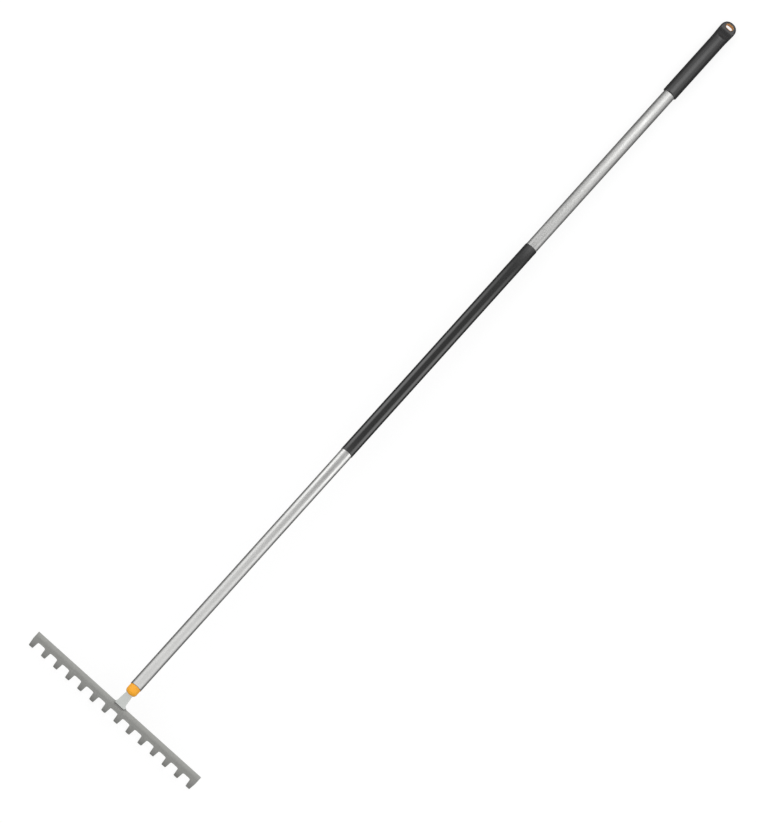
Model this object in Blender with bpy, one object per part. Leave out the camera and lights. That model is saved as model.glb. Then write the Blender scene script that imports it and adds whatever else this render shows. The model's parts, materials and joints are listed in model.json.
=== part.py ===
"""Level-head garden rake: pressed steel head, flat steel tang, aluminium shaft, plastic end grip.

The pieces are modelled in the tool's own frame: the shaft's axis is the Y axis, with the grip at +Y,
the head runs along X and the tines point down. One empty then lays the tool on the ground, on its
tine tips and its grip, with the origin below the middle of its box. Lengths are in metres.
"""

import math

import bmesh
import bpy
from mathutils import Matrix, Vector

# Clearances
GAP = 0.0003                    # between two pieces that touch
SKIN_GAP = 0.00015              # between the shaft and the thin sleeve shrunk on it

# Head: one pressed steel strip, folded into a flange, a face and a row of tines
TINE_COUNT = 14
TINE_PITCH = 0.027
TINE_ROOT_WIDTH = 0.0117
TINE_TIP_WIDTH = 0.0082
TINE_LENGTH = 0.048             # along the curved tine
TINE_ROOT_FILLET = 0.004
TINE_TIP_ROUND = 0.0026
TINE_CURL = math.radians(8)    # how far each tine curls back towards the shaft
HEAD_SHEET = 0.0028
FLANGE_FLAT = 0.0025
FLANGE_BEND = 0.0035            # to the middle of the sheet
FACE_HEIGHT = 0.018
FACE_LEAN = math.radians(6)    # how far the face leans away from the shaft
FLANGE_BACK_Y = 0.0095

# Tang: a flat strip with a flared foot on the flange
TANG_THICKNESS = 0.005
NECK_WIDTH = 0.0134
FOOT_WIDTH = 0.0167
FOOT_OVERLAP = 0.004            # of the foot on the flange
FOOT_FLARE_LEFT = 0.0018
FOOT_FLARE_RIGHT = 0.0047
FOOT_FLARE_LENGTH = 0.0065
TANG_IN_SHAFT = 0.110
NECK_IN_COLLAR = 0.014          # how far the neck keeps its full width inside the collar
WELD_LEG = 0.0022
WELD_CROWN = 0.62               # of the leg, where the weld's raised face stands

# Collar: a domed plastic end piece with a spigot in the shaft
COLLAR_STEP = 0.00065           # the collar lies this much inside the shaft's surface
COLLAR_START_Y = 0.0308
COLLAR_LENGTH = 0.0179
COLLAR_DOME = 0.0078
SPIGOT_LENGTH = 0.040
SPIGOT_SIDE_WALL = 0.0032       # between the tang's edge and the shaft's bore
BUSHING_LENGTH = 0.024

# Rivet from below, through shaft, spigot and tang
RIVET_SHANK_DIAMETER = 0.004
RIVET_HEAD_DIAMETER = 0.0075
RIVET_HEAD_HEIGHT = 0.0016
RIVET_FROM_SHAFT_END = 0.018
RIVET_PAST_TANG = 0.0025

# Shaft and the sleeve over its middle
SHAFT_DIAMETER = 0.022
SHAFT_WALL = 0.0015
SHAFT_LENGTH = 1.498
SLEEVE_START = 0.542            # from the shaft's lower end
SLEEVE_LENGTH = 0.477
SLEEVE_WALL = 0.0005

# End grip: a soft cover over a hard core with a hanging eye
GRIP_LENGTH = 0.1648
GRIP_PAST_SHAFT = 0.0440
GRIP_WALL = 0.00225             # of the cover around the shaft
GRIP_BULGE_LENGTH = 0.026       # over which the grip swells to its end, which is as wide as the eye needs
GRIP_END_ROUND = 0.0142
GRIP_END_SHAPE = 2.3            # the end's outline: 2 is an ellipse, more is squarer
GRIP_MOUTH_ROUND = 0.002
EYE_FLAT_THICKNESS = 0.013      # between the two flats of the grip's end
EYE_SCOOP_START = 0.033         # from the grip's end, where the flats begin to sink in
EYE_SCOOP_END = 0.017           # from the grip's end, where they are down
EYE_FROM_END = 0.0092
EYE_LENGTH = 0.0149             # across the grip
EYE_HEIGHT = 0.0093             # along the grip
EYE_RIM = 0.0006
EYE_RIM_SUNK = 0.0002
CORE_COVER = 0.002              # of soft cover over the core's flats and end
CORE_BESIDE_EYE = 0.00255       # of core between the eye's rim and the core's side
COVER_BESIDE_CORE = 0.0042      # of soft cover between the core's side and the grip's
CORE_EDGE_COVER = 0.0023        # between the core's edges, where it begins, and the round of the grip
CORE_CORNER = 0.0085
CORE_PLUG_LENGTH = 0.045
CORE_PLUG_LEAD_IN = 0.001
CORE_SHOULDER = 0.006           # the cone between the plug and the flat eye

ROUND_SEGMENTS = 40

# Places along the shaft that follow from the sizes above
SHAFT_START_Y = COLLAR_START_Y + COLLAR_LENGTH
SHAFT_END_Y = SHAFT_START_Y + SHAFT_LENGTH
GRIP_END_Y = SHAFT_END_Y + GRIP_PAST_SHAFT
GRIP_START_Y = GRIP_END_Y - GRIP_LENGTH
TANG_END_Y = SHAFT_START_Y + TANG_IN_SHAFT
FLANGE_TOP_Z = -TANG_THICKNESS / 2 - GAP
SHOULDER_Y = COLLAR_START_Y + NECK_IN_COLLAR
RIVET_Y = SHAFT_START_Y + RIVET_FROM_SHAFT_END
EYE_Y = GRIP_END_Y - EYE_FROM_END

# Radii and half sizes that follow from them too
SHAFT_RADIUS = SHAFT_DIAMETER / 2
BORE_RADIUS = SHAFT_RADIUS - SHAFT_WALL
TANG_HALF_WIDTH = BORE_RADIUS - SPIGOT_SIDE_WALL
COLLAR_RADIUS = SHAFT_RADIUS - COLLAR_STEP
GRIP_RADIUS = SHAFT_RADIUS + GRIP_WALL
BULGE_RADIUS = EYE_LENGTH / 2 + CORE_BESIDE_EYE + COVER_BESIDE_CORE
CORE_HALF_THICKNESS = EYE_FLAT_THICKNESS / 2 - CORE_COVER


# ---------------------------------------------------------------- helpers

def clear_scene():
    for obj in list(bpy.data.objects):
        bpy.data.objects.remove(obj, do_unlink=True)


def make_material(name, colour, roughness, metallic):
    material = bpy.data.materials.new(name)
    material.use_nodes = True
    shader = material.node_tree.nodes["Principled BSDF"]
    shader.inputs["Base Color"].default_value = (*colour, 1)
    shader.inputs["Roughness"].default_value = roughness
    shader.inputs["Metallic"].default_value = metallic
    return material


def object_from(name, verts, faces, parent, material=None, smooth_angle=30):
    """A new object whose faces all point out."""
    bm = bmesh.new()
    points = [bm.verts.new(v) for v in verts]
    for face in faces:
        bm.faces.new([points[i] for i in face])
    bmesh.ops.recalc_face_normals(bm, faces=bm.faces)
    mesh = bpy.data.meshes.new(name)
    bm.to_mesh(mesh)
    bm.free()
    mesh.shade_smooth()
    mesh.set_sharp_from_angle(angle=math.radians(smooth_angle))
    if material:
        mesh.materials.append(material)
    obj = bpy.data.objects.new(name, mesh)
    bpy.context.scene.collection.objects.link(obj)
    obj.parent = parent
    return obj


def turned(name, profile, parent, material=None, closed=False):
    """A body turned about the Y axis from (y, radius) points. A closed profile makes a tube."""
    verts, rings = [], []
    for y, radius in profile:
        count = ROUND_SEGMENTS if radius > 0 else 1
        rings.append([len(verts) + i for i in range(count)])
        for i in range(count):
            angle = 2 * math.pi * i / ROUND_SEGMENTS
            verts.append((radius * math.sin(angle), y, radius * math.cos(angle)))
    pairs = list(zip(rings, rings[1:]))
    if closed:
        pairs.append((rings[-1], rings[0]))
    faces = []
    for low, high in pairs:
        for i in range(ROUND_SEGMENTS):
            j = (i + 1) % ROUND_SEGMENTS
            corners = (low[i % len(low)], low[j % len(low)], high[j % len(high)], high[i % len(high)])
            faces.append(list(dict.fromkeys(corners)))
    return object_from(name, verts, faces, parent, material)


def extruded(name, outline, low_z, high_z, parent, material=None):
    """A prism along Z on an (x, y) outline."""
    count = len(outline)
    verts = [(x, y, z) for z in (low_z, high_z) for x, y in outline]
    faces = [list(range(count)), list(range(count, 2 * count))]
    for i in range(count):
        j = (i + 1) % count
        faces.append([i, j, count + j, count + i])
    return object_from(name, verts, faces, parent, material)


def bar_along_x(name, section, low_x, high_x, parent, material=None):
    """A prism along X on a (y, z) section."""
    count = len(section)
    verts = [(x, y, z) for x in (low_x, high_x) for y, z in section]
    faces = [list(range(count)), list(range(count, 2 * count))]
    for i in range(count):
        j = (i + 1) % count
        faces.append([i, j, count + j, count + i])
    return object_from(name, verts, faces, parent, material)


def arc(centre, radii, start, end, steps):
    """Points (a, b) on an ellipse, from one angle in degrees to another."""
    points = []
    for i in range(steps + 1):
        angle = math.radians(start + (end - start) * i / steps)
        points.append((centre[0] + radii[0] * math.cos(angle), centre[1] + radii[1] * math.sin(angle)))
    return points


def boolean(obj, tool, operation):
    """Joins or cuts with a helper, which the finished model leaves out."""
    tool.hide_render = True
    tool.display_type = "WIRE"
    modifier = obj.modifiers.new(tool.name, "BOOLEAN")
    modifier.operation = operation
    modifier.object = tool
    modifier.solver = "EXACT"


def cut(obj, tool):
    boolean(obj, tool, "DIFFERENCE")


def join(obj, tool):
    boolean(obj, tool, "UNION")


# ---------------------------------------------------------------- head

BEND_ANGLE = math.pi / 2 - FACE_LEAN
BEND_LENGTH = FLANGE_BEND * BEND_ANGLE
BAR_LENGTH = FLANGE_FLAT + BEND_LENGTH + FACE_HEIGHT    # of strip, from the flange's edge to the gaps


def strip_point(s):
    """(y, z, heading) on the middle of the pressed strip, s along it from the flange's back edge.

    The heading is 0 where the strip runs away from the shaft and 90 degrees where it runs down."""
    y = FLANGE_BACK_Y - min(s, FLANGE_FLAT)
    z = FLANGE_TOP_Z - HEAD_SHEET / 2
    heading = 0.0
    if s > FLANGE_FLAT:
        heading = min(s - FLANGE_FLAT, BEND_LENGTH) / FLANGE_BEND
        y -= FLANGE_BEND * math.sin(heading)
        z -= FLANGE_BEND * (1 - math.cos(heading))
    if s > FLANGE_FLAT + BEND_LENGTH:
        down = min(s, BAR_LENGTH) - FLANGE_FLAT - BEND_LENGTH
        y -= down * math.cos(heading)
        z -= down * math.sin(heading)
    if s > BAR_LENGTH:
        radius = TINE_LENGTH / TINE_CURL
        turn = (s - BAR_LENGTH) / radius
        y -= radius * (math.sin(heading + turn) - math.sin(heading))
        z += radius * (math.cos(heading + turn) - math.cos(heading))
        heading += turn
    return y, z, heading


def tine_half_width(s, filleted):
    """Half the width of a tine at s, with the fillet at the gap's corner and the rounded tip."""
    down = max(s - BAR_LENGTH, 0)
    half = (TINE_ROOT_WIDTH + (TINE_TIP_WIDTH - TINE_ROOT_WIDTH) * down / TINE_LENGTH) / 2
    if filleted and down < TINE_ROOT_FILLET:
        half += TINE_ROOT_FILLET - math.sqrt(TINE_ROOT_FILLET**2 - (TINE_ROOT_FILLET - down) ** 2)
    into_tip = down - (TINE_LENGTH - TINE_TIP_ROUND)
    if into_tip > 0:
        half -= TINE_TIP_ROUND - math.sqrt(max(TINE_TIP_ROUND**2 - into_tip**2, 0))
    return half


def strip_rows():
    """Where the strip is divided along its length, and the first row that belongs to the tines."""
    bend_steps, fillet_steps, tine_steps, tip_steps = 7, 4, 6, 4
    rows = [0.0]
    rows += [FLANGE_FLAT + BEND_LENGTH * i / bend_steps for i in range(bend_steps + 1)]
    rows.append(BAR_LENGTH)
    first_tine_row = len(rows) - 1
    rows += [BAR_LENGTH + TINE_ROOT_FILLET * (1 - math.cos(math.pi / 2 * i / fillet_steps))
             for i in range(1, fillet_steps + 1)]
    straight = TINE_LENGTH - TINE_ROOT_FILLET - TINE_TIP_ROUND
    rows += [BAR_LENGTH + TINE_ROOT_FILLET + straight * i / tine_steps for i in range(1, tine_steps + 1)]
    tip_start = BAR_LENGTH + TINE_LENGTH - TINE_TIP_ROUND
    rows += [tip_start + TINE_TIP_ROUND * math.sin(math.pi / 2 * i / tip_steps)
             for i in range(1, tip_steps + 1)]
    return rows, first_tine_row


def make_head(parent, material):
    rows, first_tine_row = strip_rows()
    columns = 2 * TINE_COUNT
    verts = []
    for side in (1, -1):
        for s in rows:
            y, z, heading = strip_point(s)
            y -= side * HEAD_SHEET / 2 * math.sin(heading)
            z += side * HEAD_SHEET / 2 * math.cos(heading)
            for tine in range(TINE_COUNT):
                centre = (tine - (TINE_COUNT - 1) / 2) * TINE_PITCH
                left = tine_half_width(s, filleted=tine > 0)
                right = tine_half_width(s, filleted=tine < TINE_COUNT - 1)
                verts.append((centre - left, y, z))
                verts.append((centre + right, y, z))

    def at(side, row, column):
        return (side * len(rows) + row) * columns + column

    faces = []
    for row in range(len(rows) - 1):
        on_bar = row < first_tine_row
        for column in range(columns - 1):
            if on_bar or column % 2 == 0:
                for side in (0, 1):
                    faces.append([at(side, row, column), at(side, row, column + 1),
                                  at(side, row + 1, column + 1), at(side, row + 1, column)])
        edges = (0, columns - 1) if on_bar else range(columns)
        for column in edges:
            faces.append([at(0, row, column), at(0, row + 1, column),
                          at(1, row + 1, column), at(1, row, column)])
    last = len(rows) - 1
    for column in range(columns - 1):
        end_row = last if column % 2 == 0 else first_tine_row
        for row in (0, end_row):
            faces.append([at(0, row, column), at(0, row, column + 1),
                          at(1, row, column + 1), at(1, row, column)])
    return object_from("rake_head", verts, faces, parent, material, smooth_angle=40)


# ---------------------------------------------------------------- tang, welds, collar, rivet

def foot_side(sign, flare):
    """One side of the tang's outline, from its inner end to the foot's front corner."""
    points = [(TANG_HALF_WIDTH, TANG_END_Y), (TANG_HALF_WIDTH, SHOULDER_Y)]
    points += [(NECK_WIDTH / 2, SHOULDER_Y), (NECK_WIDTH / 2, COLLAR_START_Y)]
    centre = (FOOT_WIDTH / 2 + flare, FLANGE_BACK_Y + FOOT_FLARE_LENGTH)
    points += arc(centre, (flare, FOOT_FLARE_LENGTH), 180, 270, 6)
    points.append((FOOT_WIDTH / 2 + flare / 4, FLANGE_BACK_Y - FOOT_OVERLAP))
    return [(sign * x, y) for x, y in points]


def make_tang(parent, material):
    outline = foot_side(1, FOOT_FLARE_RIGHT) + foot_side(-1, FOOT_FLARE_LEFT)[::-1]
    tang = extruded("neck_tang", outline, -TANG_THICKNESS / 2, TANG_THICKNESS / 2, parent, material)
    cut(tang, rivet_hole("tang_rivet_cutter", parent))
    return tang


def weld_section(corner_y, corner_z, towards_y, towards_z):
    """A fillet weld's (y, z) section in a corner, with a slightly raised face."""
    crown = WELD_CROWN * WELD_LEG
    return [(corner_y, corner_z),
            (corner_y + towards_y * WELD_LEG, corner_z),
            (corner_y + towards_y * crown, corner_z + towards_z * crown),
            (corner_y, corner_z + towards_z * WELD_LEG)]


def make_welds(parent, material):
    left = -FOOT_WIDTH / 2 - FOOT_FLARE_LEFT / 4
    right = FOOT_WIDTH / 2 + FOOT_FLARE_RIGHT / 4
    front = weld_section(FLANGE_BACK_Y - FOOT_OVERLAP - GAP, FLANGE_TOP_Z + GAP, -1, 1)
    bar_along_x("front_weld", front, left, right, parent, material)
    rear = weld_section(FLANGE_BACK_Y + GAP, -TANG_THICKNESS / 2 - GAP, 1, -1)
    bar_along_x("rear_weld", rear, left, right, parent, material)


def tang_slot(name, parent):
    """A cutter that leaves the tang's way through a plastic piece."""
    neck = NECK_WIDTH / 2 + GAP
    tang = TANG_HALF_WIDTH + GAP
    right = [(neck, COLLAR_START_Y - GAP), (neck, SHOULDER_Y + GAP)]
    right += [(tang, SHOULDER_Y + GAP), (tang, SHAFT_END_Y)]
    outline = right + [(-x, y) for x, y in reversed(right)]
    half_thickness = TANG_THICKNESS / 2 + GAP
    return extruded(name, outline, -half_thickness, half_thickness, parent)


def rivet_hole(name, parent):
    radius = RIVET_SHANK_DIAMETER / 2 + GAP
    outline = arc((0, RIVET_Y), (radius, radius), 0, 360, 16)[:-1]
    top = TANG_THICKNESS / 2 + RIVET_PAST_TANG + GAP
    return extruded(name, outline, -SHAFT_DIAMETER, top, parent)


def make_collar(parent, material):
    spigot = BORE_RADIUS - GAP
    head_end = SHAFT_START_Y - GAP
    spigot_end = SHAFT_START_Y + SPIGOT_LENGTH
    dome = arc((COLLAR_START_Y + COLLAR_DOME, 0), (-COLLAR_DOME, COLLAR_RADIUS), 0, 90, 10)
    profile = [(COLLAR_START_Y, 0)] + dome[1:]
    profile += [(head_end, COLLAR_RADIUS), (head_end, spigot), (spigot_end, spigot), (spigot_end, 0)]
    collar = turned("collar", profile, parent, material)
    cut(collar, tang_slot("collar_slot_cutter", parent))
    cut(collar, rivet_hole("collar_rivet_cutter", parent))
    return collar


def make_bushing(parent, material):
    radius = BORE_RADIUS - GAP
    start = TANG_END_Y - BUSHING_LENGTH
    profile = [(start, 0), (start, radius), (TANG_END_Y, radius), (TANG_END_Y, 0)]
    bushing = turned("tang_bushing", profile, parent, material)
    cut(bushing, tang_slot("bushing_slot_cutter", parent))
    return bushing


def make_rivet(parent, material):
    """The shank stands up from a domed head under the shaft."""
    shank = RIVET_SHANK_DIAMETER / 2
    head = RIVET_HEAD_DIAMETER / 2
    seat_z = -SHAFT_RADIUS - GAP
    top_z = TANG_THICKNESS / 2 + RIVET_PAST_TANG
    dome = arc((seat_z, 0), (-RIVET_HEAD_HEIGHT, head), 0, 90, 5)
    profile = [(seat_z - RIVET_HEAD_HEIGHT, 0)] + dome[1:] + [(seat_z, shank), (top_z, shank), (top_z, 0)]
    rivet = turned("tang_rivet", profile, parent, material)
    rivet.data.transform(Matrix.Translation((0, RIVET_Y, 0)) @ Matrix.Rotation(math.pi / 2, 4, "X"))
    return rivet


# ---------------------------------------------------------------- shaft and sleeve

def make_shaft(parent, material):
    profile = [(SHAFT_START_Y, SHAFT_RADIUS), (SHAFT_END_Y, SHAFT_RADIUS),
               (SHAFT_END_Y, BORE_RADIUS), (SHAFT_START_Y, BORE_RADIUS)]
    shaft = turned("shaft_tube", profile, parent, material, closed=True)
    cut(shaft, rivet_hole("shaft_rivet_cutter", parent))
    return shaft


def make_sleeve(parent, material):
    inner = SHAFT_RADIUS + SKIN_GAP
    outer = inner + SLEEVE_WALL
    start = SHAFT_START_Y + SLEEVE_START
    end = start + SLEEVE_LENGTH
    edge = SLEEVE_WALL / 2
    profile = [(start, inner), (start, outer - edge), (start + edge, outer),
               (end - edge, outer), (end, outer - edge), (end, inner)]
    return turned("shaft_sleeve", profile, parent, material, closed=True)


# ---------------------------------------------------------------- grip

def eye_outline(grow):
    """The hanging eye's oval, across the grip, grown by a margin."""
    half_x = EYE_LENGTH / 2 + grow
    half_y = EYE_HEIGHT / 2 + grow
    straight = half_x - half_y
    right = arc((straight, EYE_Y), (half_y, half_y), -90, 90, 10)
    left = arc((-straight, EYE_Y), (half_y, half_y), 90, 270, 10)
    return right + left


def core_outline(grow):
    """The flat core beyond the shaft's end: as wide as the grip's body takes, then as the eye needs."""
    half = EYE_LENGTH / 2 + CORE_BESIDE_EYE + grow
    start_half = math.sqrt((GRIP_RADIUS - CORE_EDGE_COVER)**2 - CORE_HALF_THICKNESS**2) + grow
    start_y = SHAFT_END_Y + GAP - grow
    widest_y = GRIP_END_Y - GRIP_END_ROUND
    end_y = GRIP_END_Y - CORE_COVER + grow
    corner = CORE_CORNER + grow
    points = [(start_half, start_y), (half, widest_y)]
    points += arc((half - corner, end_y - corner), (corner, corner), 0, 90, 8)
    points += arc((corner - half, end_y - corner), (corner, corner), 90, 180, 8)
    points += [(-half, widest_y), (-start_half, start_y)]
    return points


def make_core(parent, material):
    half = CORE_HALF_THICKNESS
    core = extruded("grip_core", core_outline(0), -half, half, parent, material)
    plug = BORE_RADIUS - GAP
    start_y = SHAFT_END_Y - CORE_PLUG_LENGTH
    end_y = SHAFT_END_Y + CORE_SHOULDER
    profile = [(start_y, 0), (start_y, plug - CORE_PLUG_LEAD_IN), (start_y + CORE_PLUG_LEAD_IN, plug),
               (SHAFT_END_Y + GAP, plug), (end_y, half), (end_y, 0)]
    join(core, turned("core_plug_joiner", profile, parent))
    rim = EYE_FLAT_THICKNESS / 2 - EYE_RIM_SUNK
    join(core, extruded("core_rim_joiner", eye_outline(-GAP), -rim, rim, parent))
    eye = eye_outline(-GAP - EYE_RIM)
    cut(core, extruded("core_eye_cutter", eye, -GRIP_RADIUS, GRIP_RADIUS, parent))
    return core


def scoop(name, sign, parent):
    """A cutter for one flat of the grip's end, which sinks in along an arc."""
    flat = EYE_FLAT_THICKNESS / 2
    clear = 2 * BULGE_RADIUS
    run = EYE_SCOOP_START - EYE_SCOOP_END
    drop = GRIP_RADIUS - flat
    radius = (run**2 + drop**2) / (2 * drop)
    sweep = math.degrees(math.asin(run / radius))
    past_surface = 3
    centre = (GRIP_END_Y - EYE_SCOOP_END, flat + radius)
    section = arc(centre, (radius, radius), -90 - sweep - past_surface, -90, 9)
    section += [(GRIP_END_Y + clear, flat), (GRIP_END_Y + clear, clear), (section[0][0], clear)]
    section = [(y, sign * z) for y, z in section]
    return bar_along_x(name, section, -clear, clear, parent)


def grip_profile():
    """The cover's outside, turned: a rounded mouth, a straight body and a swelling, rounded end."""
    mouth_centre = (GRIP_START_Y + GRIP_MOUTH_ROUND, GRIP_RADIUS - GRIP_MOUTH_ROUND)
    profile = [(GRIP_START_Y, 0)] + arc(mouth_centre, (GRIP_MOUTH_ROUND, GRIP_MOUTH_ROUND), 180, 90, 4)
    widest_y = GRIP_END_Y - GRIP_END_ROUND
    steps = 8
    for i in range(steps + 1):
        share = i / steps
        eased = share * share * (3 - 2 * share)
        radius = GRIP_RADIUS + (BULGE_RADIUS - GRIP_RADIUS) * eased
        profile.append((widest_y - GRIP_BULGE_LENGTH * (1 - share), radius))
    power = 2 / GRIP_END_SHAPE
    for along, out in arc((0, 0), (1, 1), 90, 0, 10)[1:-1]:
        profile.append((widest_y + GRIP_END_ROUND * along**power, BULGE_RADIUS * out**power))
    return profile + [(GRIP_END_Y, 0)]


def make_grip(parent, material):
    grip = turned("end_grip", grip_profile(), parent, material)
    bore = SHAFT_RADIUS + GAP
    cavity = CORE_HALF_THICKNESS + GAP
    outside_y = GRIP_START_Y - GRIP_MOUTH_ROUND
    bore_end_y = SHAFT_END_Y + 2 * GAP
    shoulder_end_y = SHAFT_END_Y + CORE_SHOULDER + GAP
    mouth = [(outside_y, 0), (outside_y, bore), (bore_end_y, bore), (bore_end_y, BORE_RADIUS),
             (shoulder_end_y, cavity), (shoulder_end_y, 0)]
    cut(grip, scoop("grip_top_scoop", 1, parent))
    cut(grip, scoop("grip_bottom_scoop", -1, parent))
    cut(grip, turned("grip_bore_cutter", mouth, parent))
    cut(grip, extruded("grip_core_cutter", core_outline(GAP), -cavity, cavity, parent))
    cut(grip, extruded("grip_eye_cutter", eye_outline(0), -GRIP_RADIUS, GRIP_RADIUS, parent))
    return grip


# ---------------------------------------------------------------- laying the tool down

def points_of(obj):
    """The evaluated mesh's points, in the tool's own frame."""
    evaluated = obj.evaluated_get(bpy.context.evaluated_depsgraph_get())
    mesh = evaluated.to_mesh()
    points = [v.co.copy() for v in mesh.vertices]
    evaluated.to_mesh_clear()
    return points


def lay_down(frame, pieces, head, grip):
    """Turns the tool until its tines and its grip touch the same ground, then centres its box."""
    head_points = points_of(head)
    grip_points = points_of(grip)
    tilt = 0.0
    for _ in range(20):
        turn = Matrix.Rotation(tilt, 3, "X")
        low_head = min((turn @ p).z for p in head_points)
        low_grip = min((turn @ p).z for p in grip_points)
        tilt += (low_head - low_grip) / (GRIP_END_Y - FLANGE_BACK_Y)
    turn = Matrix.Rotation(tilt, 3, "X")
    laid = [turn @ p for piece in pieces for p in points_of(piece)]
    low = [min(p[i] for p in laid) for i in range(3)]
    high = [max(p[i] for p in laid) for i in range(3)]
    frame.rotation_euler = (tilt, 0, 0)
    frame.location = Vector((-(low[0] + high[0]) / 2, -(low[1] + high[1]) / 2, -low[2]))


def main():
    clear_scene()
    frame = bpy.data.objects.new("tool_frame", None)
    bpy.context.scene.collection.objects.link(frame)

    painted_steel = make_material("painted_steel", (0.30, 0.30, 0.28), 0.45, 0.3)
    tang_steel = make_material("tang_steel", (0.58, 0.60, 0.58), 0.4, 0.7)
    weld_metal = make_material("weld_metal", (0.42, 0.42, 0.40), 0.5, 0.7)
    orange_plastic = make_material("orange_plastic", (0.92, 0.42, 0.03), 0.4, 0.0)
    grey_plastic = make_material("grey_plastic", (0.25, 0.25, 0.26), 0.5, 0.0)
    rivet_metal = make_material("rivet_metal", (0.6, 0.6, 0.6), 0.35, 0.9)
    aluminium = make_material("aluminium", (0.62, 0.62, 0.60), 0.3, 1.0)
    black_sleeve = make_material("black_sleeve", (0.02, 0.02, 0.02), 0.45, 0.0)
    black_rubber = make_material("black_rubber", (0.03, 0.03, 0.03), 0.6, 0.0)

    head = make_head(frame, painted_steel)
    make_tang(frame, tang_steel)
    make_welds(frame, weld_metal)
    make_collar(frame, orange_plastic)
    make_bushing(frame, grey_plastic)
    make_rivet(frame, rivet_metal)
    make_shaft(frame, aluminium)
    make_sleeve(frame, black_sleeve)
    make_core(frame, orange_plastic)
    grip = make_grip(frame, black_rubber)

    pieces = [obj for obj in frame.children if not obj.hide_render]
    bpy.context.view_layer.update()
    lay_down(frame, pieces, head, grip)
    bpy.context.view_layer.update()


main()
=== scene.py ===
"""Looks of the level-head garden rake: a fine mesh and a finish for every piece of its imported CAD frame.

Meshes are modelled in the tool's own axes, X along the head, Y up the shaft from its lower end and Z square
to both, and are then laid where the CAD lies. Lengths are in metres.
"""

import json
import math

import bmesh
import bpy
from mathutils import Matrix, Vector


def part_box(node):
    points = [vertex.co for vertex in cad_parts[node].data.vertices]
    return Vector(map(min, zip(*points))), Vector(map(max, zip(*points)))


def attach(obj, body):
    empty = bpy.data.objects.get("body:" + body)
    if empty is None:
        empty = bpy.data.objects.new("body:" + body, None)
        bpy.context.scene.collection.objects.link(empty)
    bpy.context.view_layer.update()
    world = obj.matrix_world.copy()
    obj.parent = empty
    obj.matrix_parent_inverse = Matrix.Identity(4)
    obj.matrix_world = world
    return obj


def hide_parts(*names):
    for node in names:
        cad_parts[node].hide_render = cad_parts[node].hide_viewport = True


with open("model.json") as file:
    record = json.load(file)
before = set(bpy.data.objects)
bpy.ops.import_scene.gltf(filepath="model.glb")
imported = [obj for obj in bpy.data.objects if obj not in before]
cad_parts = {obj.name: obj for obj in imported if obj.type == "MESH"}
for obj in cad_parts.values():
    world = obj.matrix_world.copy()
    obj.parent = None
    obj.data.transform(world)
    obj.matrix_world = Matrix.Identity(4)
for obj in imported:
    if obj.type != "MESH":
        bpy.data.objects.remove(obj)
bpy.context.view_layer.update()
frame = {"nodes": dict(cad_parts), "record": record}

# Clearances, as in the CAD
GAP = 0.0003
SKIN_GAP = 0.00015

# Head
TINE_COUNT = 14
TINE_ROOT_WIDTH = 0.0117
TINE_TIP_WIDTH = 0.0082
TINE_LENGTH = 0.048
TINE_ROOT_FILLET = 0.004
TINE_TIP_ROUND = 0.0026
TINE_CURL = math.radians(8)
HEAD_SHEET = 0.0028
HEAD_EDGE_ROUND = 0.0006
FLANGE_FLAT = 0.0025
FLANGE_BEND = 0.0035
FACE_HEIGHT = 0.018
FACE_LEAN = math.radians(6)

# Tang and welds
NECK_WIDTH = 0.0134
FOOT_WIDTH = 0.0167
FOOT_OVERLAP = 0.004
FOOT_FLARE_LEFT = 0.0018
FOOT_FLARE_RIGHT = 0.0047
FOOT_FLARE_LENGTH = 0.0065
NECK_IN_COLLAR = 0.014
TANG_INSET = 0.0032             # from the shaft's bore to the edges of the tang's inner part
TANG_EDGE_ROUND = 0.0008
WELD_LEG = 0.0022
WELD_HOLLOW = 0.12              # how far its face's middle lies below a quarter round, as a share of its leg
WELD_RIPPLE_PITCH = 0.0011
WELD_RIPPLE_DEPTH = 0.05        # as a share of its reach
WELD_RIPPLE_BOW = 0.3           # from a crescent's ends to its middle, in pitches
WELD_END = 0.06                 # the share of the bead's length in which each end swells to full height
WELD_END_HEIGHT = 0.35          # at the very end, as a share of its leg

# Collar, bushing and rivet
COLLAR_DOME = 0.0078
COLLAR_RIM = 0.0004
RIVET_SHANK_DIAMETER = 0.004
RIVET_HEAD_HEIGHT = 0.0016

# Shaft, sleeve and grip
SHAFT_WALL = 0.0015
SHAFT_CHAMFER = 0.0003
GRIP_WALL = 0.00225
GRIP_BULGE_LENGTH = 0.026
GRIP_END_ROUND = 0.0142
GRIP_END_SHAPE = 2.3
GRIP_END_TRIM = 0.00003         # keeps the finer end inside the faceted CAD
GRIP_MOUTH_ROUND = 0.002
EYE_FLAT_THICKNESS = 0.013
EYE_SCOOP_START = 0.033
EYE_SCOOP_END = 0.017
EYE_FROM_END = 0.0092
EYE_LENGTH = 0.0149
EYE_HEIGHT = 0.0093
EYE_RIM = 0.0006
EYE_RIM_SUNK = 0.0002
EYE_LIP_ROUND = 0.0005
CORE_COVER = 0.002
CORE_EDGE_COVER = 0.0023
CORE_CORNER = 0.0085
CORE_SHOULDER = 0.006
PLUG_LEAD_IN = 0.001

# The camera: how far it leans towards the head, how far the tool is turned in the picture, the height that
# the picture takes in at the tool, and the place on the tool that it is centred on
CAMERA_LEAN = math.radians(15)
CAMERA_TURN = math.radians(42)
CAMERA_LENS = 1500
SENSOR_SIZE = 36
PICTURE_HEIGHT = 1.3685
PICTURE_CENTRE_ALONG = 0.6108
PICTURE_CENTRE_ACROSS = -0.0067

GLOSSY_IOR = 1.72               # of the two black pieces, whose gloss is stronger than plain plastic's

# Segments round the shaft's axis, and round the rivet and its hole
FINE = 160
RIVET_SEGMENTS = 64
RIVET_HOLE_SEGMENTS = 48

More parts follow.
